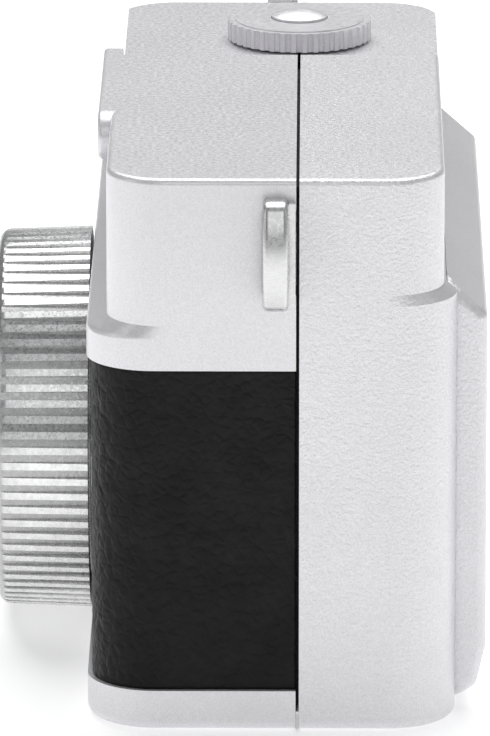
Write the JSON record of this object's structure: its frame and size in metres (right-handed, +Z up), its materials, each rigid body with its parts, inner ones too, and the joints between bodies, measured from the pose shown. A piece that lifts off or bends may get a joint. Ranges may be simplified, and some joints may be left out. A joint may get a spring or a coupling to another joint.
{
  "type": "film camera",
  "caption": "Compact 35 mm viewfinder film camera with a knurled focus ring, wind dial, hinged film door, strap lugs and a tripod socket in the base.",
  "frame": {"origin": "mouth of the tripod socket, in the base plane under the lens", "axes": "+Z up, -Y the way the lens looks, +X towards the user's left end"},
  "size_m": [0.1105, 0.058, 0.0673],
  "materials": {
    "silver_paint": "satin",
    "black_hide": "textured",
    "bright_aluminium": "brushed",
    "chrome": "polished",
    "steel": "brushed",
    "brass": "satin",
    "black_paint": "matte",
    "black_plastic": "matte",
    "foam": "matte",
    "lens_glass": "polished",
    "window_glass": "polished",
    "spring_steel": "polished"
  },
  "bodies": {
    "camera_body": {"base_screws": "steel", "button_spring": "spring_steel", "cassette_well": "black_paint", "chassis_bottom_plate": "black_paint", "chassis_top_plate": "black_paint", "counter_window": "window_glass", "door_light_seal": "foam", "film_gate_plate": "steel", "finder_eyepiece": "window_glass", "finder_objective": "lens_glass", "finder_tunnel": "black_plastic", "finder_window": "window_glass", "frame_window": "window_glass", "front_shell": "silver_paint", "hinge_pin": "steel", "latch_spring": "spring_steel", "leatherette_wrap": "black_hide", "lens_barrel": "bright_aluminium", "lens_flange": "chrome", "light_baffle": "black_paint", "light_box": "black_paint", "rear_shell": "silver_paint", "release_spring": "spring_steel", "rewind_cup": "steel", "shutter_cover": "black_paint", "shutter_plate": "black_paint", "strap_lug_left": "chrome", "strap_lug_right": "chrome", "tripod_bush": "steel", "window_bezel": "chrome"},
    "focus_ring": {"focus_ring": "bright_aluminium"},
    "lens_cell": {"lens_cell": "black_paint", "name_ring": "chrome", "front_element": "lens_glass", "rear_element": "lens_glass", "aperture_plate": "black_paint"},
    "blade_upper": {"shutter_blade_upper": "black_paint"},
    "blade_lower": {"shutter_blade_lower": "black_paint"},
    "wind_knob": {"wind_knob": "bright_aluminium", "wind_shaft": "steel", "take_up_spool": "black_plastic", "wind_pinion": "brass", "ratchet_wheel": "steel"},
    "idler": {"idler_gear": "brass"},
    "sprocket": {"film_sprocket": "black_plastic", "sprocket_gear": "brass"},
    "pawl": {"wind_pawl": "steel"},
    "counter": {"frame_counter_disc": "black_plastic"},
    "button": {"shutter_button": "chrome"},
    "rewind": {"rewind_spindle": "steel", "rewind_disc": "bright_aluminium", "crank_pin": "steel"},
    "crank": {"rewind_crank": "chrome"},
    "crank_knob": {"crank_knob": "chrome"},
    "release": {"rewind_release_button": "chrome"},
    "film_door": {"film_door": "silver_paint", "pressure_spring": "spring_steel"},
    "pressure_plate": {"pressure_plate": "steel"},
    "latch": {"door_latch": "steel"}
  },
  "joints": [
    {"name": "focus_turn", "type": "hinge", "parent": "camera_body", "child": "focus_ring", "pos_m": [0, -0.024, 0.0241], "axis": [0, -1, 0], "range_deg": [0, 150]},
    {"name": "lens_travel", "type": "slide", "parent": "camera_body", "child": "lens_cell", "axis": [0, -1, 0], "range_m": [0, 0.0016]},
    {"name": "blade_upper_turn", "type": "hinge", "parent": "camera_body", "child": "blade_upper", "pos_m": [-0.0145, -0.0118, 0.0261], "axis": [0, -1, 0], "range_deg": [0, 40], "stiffness_Nm_per_rad": 0.002, "springref_deg": -5.73},
    {"name": "blade_lower_turn", "type": "hinge", "parent": "camera_body", "child": "blade_lower", "pos_m": [-0.0145, -0.011, 0.0221], "axis": [0, -1, 0], "range_deg": [-40, 0]},
    {"name": "wind_turn", "type": "hinge", "parent": "camera_body", "child": "wind_knob", "pos_m": [-0.0315, 0.006, 0.064], "axis": [0, 0, 1], "continuous": true},
    {"name": "idler_turn", "type": "hinge", "parent": "camera_body", "child": "idler", "pos_m": [-0.02468, 0.00912, 0.055], "axis": [0, 0, 1], "continuous": true},
    {"name": "sprocket_turn", "type": "hinge", "parent": "camera_body", "child": "sprocket", "pos_m": [-0.0242, 0.0166, 0.024], "axis": [0, 0, 1], "continuous": true},
    {"name": "counter_turn", "type": "hinge", "parent": "camera_body", "child": "counter", "pos_m": [-0.033, -0.005, 0.003], "axis": [0, 0, 1], "continuous": true},
    {"name": "pawl_turn", "type": "hinge", "parent": "camera_body", "child": "pawl", "pos_m": [-0.041, -0.001, 0.0576], "axis": [0, 0, -1], "range_deg": [0, 10], "stiffness_Nm_per_rad": 0.002, "springref_deg": -5.73},
    {"name": "button_press", "type": "slide", "parent": "camera_body", "child": "button", "axis": [0, 0, -1], "range_m": [0, 0.0012], "stiffness_N_per_m": 400, "springref_m": -0.002, "deforming": ["button_spring"]},
    {"name": "rewind_turn", "type": "hinge", "parent": "camera_body", "child": "rewind", "pos_m": [0.033, 0.008, 0.002], "axis": [0, 0, 1], "continuous": true},
    {"name": "crank_fold", "type": "hinge", "parent": "rewind", "child": "crank", "pos_m": [0.0287, 0.008, 0.0012], "axis": [0, 1, 0], "range_deg": [0, 150]},
    {"name": "crank_knob_turn", "type": "hinge", "parent": "crank", "child": "crank_knob", "pos_m": [0.039, 0.008, 0.0022], "axis": [0, 0, 1], "continuous": true},
    {"name": "release_press", "type": "slide", "parent": "camera_body", "child": "release", "axis": [0, 0, 1], "range_m": [0, 0.001], "stiffness_N_per_m": 300, "springref_m": -0.002, "deforming": ["release_spring"]},
    {"name": "door_swing", "type": "hinge", "parent": "camera_body", "child": "film_door", "pos_m": [-0.047, 0.026, 0.026], "axis": [0, 0, 1], "range_deg": [0, 110]},
    {"name": "plate_press", "type": "slide", "parent": "film_door", "child": "pressure_plate", "axis": [0, 1, 0], "range_m": [0, 0.0003], "stiffness_N_per_m": 500, "springref_m": -0.001},
    {"name": "latch_slide", "type": "slide", "parent": "camera_body", "child": "latch", "axis": [0, 0, 1], "range_m": [0, 0.0025], "stiffness_N_per_m": 200, "springref_m": -0.002, "deforming": ["latch_spring"]}
  ],
  "couplings": [
    {"joint": "lens_travel", "follows": "focus_turn", "m_per_rad": 0.00061116},
    {"joint": "blade_lower_turn", "follows": "blade_upper_turn", "ratio": -1},
    {"joint": "idler_turn", "follows": "wind_turn", "ratio": -0.66667},
    {"joint": "sprocket_turn", "follows": "wind_turn", "ratio": 1},
    {"joint": "counter_turn", "follows": "wind_turn", "ratio": 0.02}
  ]
}
